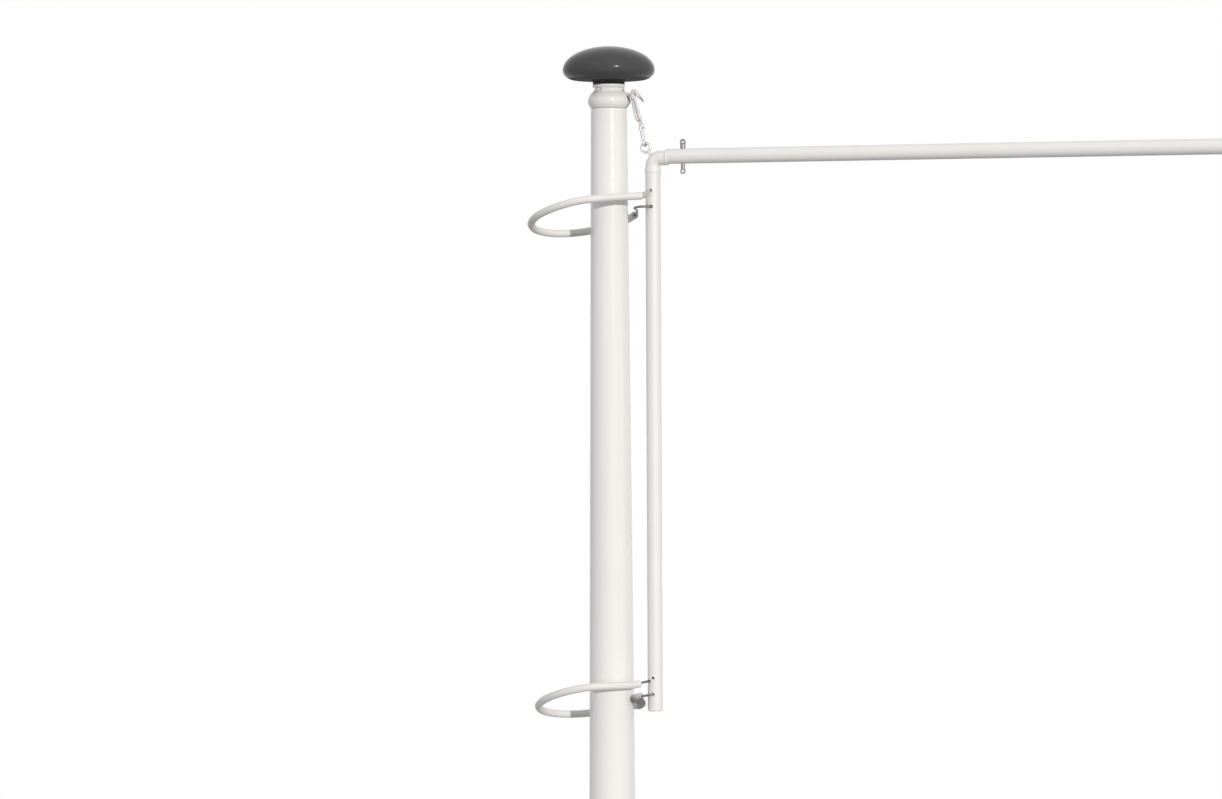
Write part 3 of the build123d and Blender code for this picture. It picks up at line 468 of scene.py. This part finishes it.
for name, line, sides, plait in (("halyard_loop", loop_line, 48, 0.00022),
                                 ("halyard_knot", knot_line, 48, 0.00022),
                                 ("halyard_wrap", wrap_line, 40, 0.0002)):
    piece = skin(name, hoops(along(line, 0.4), sides, plait), cord)
    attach(piece, "arm")
    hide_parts("halyard_end")

# The cord that is let out stretches over 2 mm of its own length below the head's slot.
fall_x = 41.4
slot_line = [(37.9, 0, 22.6, 2.45), (39.6, 0, 22.3, 2.4), (40.9, 0, 21.0, 2.3),
             (fall_x, 0, 19.0, 2.2)]
fall_line = [(fall_x, 0, 18.0 - 0.05 * i, 2.2) for i in range(41)]
paid_out_line = [(x, y, pole_top + z, radius) for x, y, z, radius in slot_line + fall_line]
paid_out = skin("halyard_paid_out", hoops(along(paid_out_line, 0.25), 32), cord)
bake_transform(paid_out)

# ---- Guide rings ---------------------------------------------------------------------------
# Drawn stainless rods, dull from weather, hooked into the arm tube's holes and covered with
# white plastic hose, so that they slide quietly on the pole. A grey ferrule ends the upper
# hose, the lower one has a rolled lip, and white grommets line the holes.
rod = Finish("drawn_rod", Metallic=1.0)
dull = rod.cloud(rod.place(), 0.01, 4)
rod.wear(dull, (0.14, 0.135, 0.13), (0.30, 0.29, 0.28), 0.3, 0.5)
rod.relief(dull, 0.00005)
rod.cover("ring_upper_rod", "ring_lower_rod")

hose = Finish("white_hose", IOR=1.5, Specular_IOR_Level=0.3)
scuffs = hose.cloud(hose.place(), 0.012, 4)
rubbed = hose.cloud(hose.place(), 0.05, 3)
hose_height = hose.measure(2)
# Painted shade: near the arm tube the hose is darkened on the upper ring's lower leg and on the
# lower ring's low end.
upper_end_shade_band = hose.rise(hose_height, 5.70, 5.71) * (1 - hose.rise(hose_height, 5.838, 5.844))
lower_end_shade_band = 1 - hose.rise(hose_height, 5.020, 5.036)
painted_hose_shade = (hose.rise(hose.measure(0), 0.026, 0.040) * (upper_end_shade_band + lower_end_shade_band)
         * (0.55 + 0.6 * scuffs))
unshaded_hose = hose.blend(scuffs * 0.6 + rubbed * 0.4, (0.78, 0.76, 0.73), (0.86, 0.845, 0.815))
hose.feed("Base Color", hose.blend(painted_hose_shade, unshaded_hose, (0.10, 0.092, 0.088)))
hose.feed("Roughness", 0.38 + 0.15 * scuffs)
hose.relief(hose.cloud(hose.place(), 0.003), 0.0001)
hose.cover("ring_upper_hose", "ring_lower_hose")

sleeve = Finish("grey_ferrule", IOR=1.5)
crimp = sleeve.cloud(sleeve.place(), 0.003, 3)
sleeve.wear(crimp, (0.42, 0.41, 0.395), (0.58, 0.57, 0.55), 0.45, 0.65)
sleeve.relief(crimp, 0.0001)
ferrule_line = [(62.5, -29.0, 5854.15, 5.4), (66.5, -25.9, 5855.0, 5.0),
                (71.5, -21.8, 5859.7, 3.7), (75.2, -18.6, 5863.3, 2.6)]
ferrule = skin("upper_hose_ferrule", hoops(along(ferrule_line, 0.6), 40), sleeve)
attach(ferrule, "arm")

lip_middle = Vector((0.0552, -0.0261, 5.0493))
lip_ahead = Vector((11.4, 12.8, 3.6)).normalized()
lip_side = lip_ahead.cross(up).normalized()
lip_spots = [(lip_middle + outward * 0.0043, outward, 0.0019)
             for _, outward in directions(lip_side, lip_side.cross(lip_ahead), 48)]
hose_lip = skin("lower_hose_lip", bead(lip_spots, lip_ahead, 20), hose, looped=True)
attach(hose_lip, "arm")

tube_radius = 0.0125
hole_radius = 0.00265
half_pitch = 0.0134
tube_low, tube_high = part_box("arm_tube")
tube_x = (tube_low[0] + tube_high[0]) / 2
upper_holes = 5.8504
lower_holes = tube_low[2] + 0.0401
for where, hole_height in (("upper_high", upper_holes + half_pitch),
                           ("upper_low", upper_holes - half_pitch),
                           ("lower_high", lower_holes + half_pitch),
                           ("lower_low", lower_holes - half_pitch)):
    grommet_spots = []
    for angle, outward in directions(right, up, 40):
        rim = right * tube_x + up * hole_height + outward * hole_radius
        to_wall = math.sqrt(tube_radius ** 2 - (hole_radius * math.cos(angle)) ** 2)
        grommet_spots.append((rim - back * to_wall, outward, 0.00062))
    grommet = skin("grommet_" + where, bead(grommet_spots, back, 16), hose,
                   looped=True)
    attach(grommet, "arm")

# ---- Studio --------------------------------------------------------------------------------
# Pale floor that fades into the white surround, a low sun from the viewer's right, and an
# even sky that is weaker from below.
floor_half = 4
floor_drop = -0.002
floor_mesh = bpy.data.meshes.new("floor")
floor_mesh.from_pydata([(x * floor_half, y * floor_half, floor_drop)
                        for x, y in ((-1, -1), (1, -1), (1, 1), (-1, 1))], [], [(0, 1, 2, 3)])
floor = bpy.data.objects.new("floor", floor_mesh)
bpy.context.scene.collection.objects.link(floor)
ground = Finish("pale_floor", Roughness=0.9, Base_Color=(0.82, 0.82, 0.82, 1))
from_pole = ground.step("ShaderNodeVectorMath", {"operation": "LENGTH"}, {0: ground.place()}, 1)
faded = ground.step("ShaderNodeMixShader", None, {
    0: ground.rise(from_pole, 1.2, 3.5), 1: ground.shader,
    2: ground.step("ShaderNodeBsdfTransparent")})
ground.tree.links.new(faded.socket, ground.surface)
floor_mesh.materials.append(ground.material)

sun_lamp = bpy.data.lights.new("low_sun", "SUN")
sun_lamp.energy = 1.94
sun_lamp.angle = math.radians(1.8)
sun_lamp.color = (1.0, 0.975, 0.945)
sun = bpy.data.objects.new("low_sun", sun_lamp)
sun.rotation_euler = Vector((0.589, -0.781, 0.208)).to_track_quat("Z", "Y").to_euler()
bpy.context.scene.collection.objects.link(sun)

world = bpy.data.worlds.new("white_surround")
world.use_nodes = True
bpy.context.scene.world = world
sky = Bench(world.node_tree)
towards = sky.step("ShaderNodeTexCoord", output=0)


def facing(direction):
    """1 straight towards a direction of the sky, and 0 a quarter turn away and beyond."""
    return sky.step("ShaderNodeVectorMath", {"operation": "DOT_PRODUCT"},
                    {0: towards, 1: direction}, 1).above_zero()


glow = (0.26 * facing(up) + 0.20 * facing((0.207, -0.676, 0.707)) ** 2
        + 0.33 * facing((0.292, -0.956, 0)) ** 3 + 0.22 * facing((-0.292, 0.956, 0))
        + 0.42 * facing((0.956, 0.292, 0)) + 0.52 * facing((-0.956, -0.292, 0))
        ) * (1 - 0.75 * facing(-up))
dome = sky.step("ShaderNodeBackground", None, {0: (0.975, 0.99, 1.02, 1), 1: glow})
surround = sky.step("ShaderNodeBackground", None, {0: (1, 1, 1, 1)})
camera_ray = sky.step("ShaderNodeLightPath", output=0)
glossy_ray = sky.step("ShaderNodeLightPath", output=3)
passing_ray = sky.step("ShaderNodeLightPath", output=6)
plainly_seen = (camera_ray + glossy_ray + passing_ray) > 0.5
sky.step("ShaderNodeOutputWorld", None, {0: sky.step(
    "ShaderNodeMixShader", None, {0: plainly_seen, 1: dome, 2: surround})})
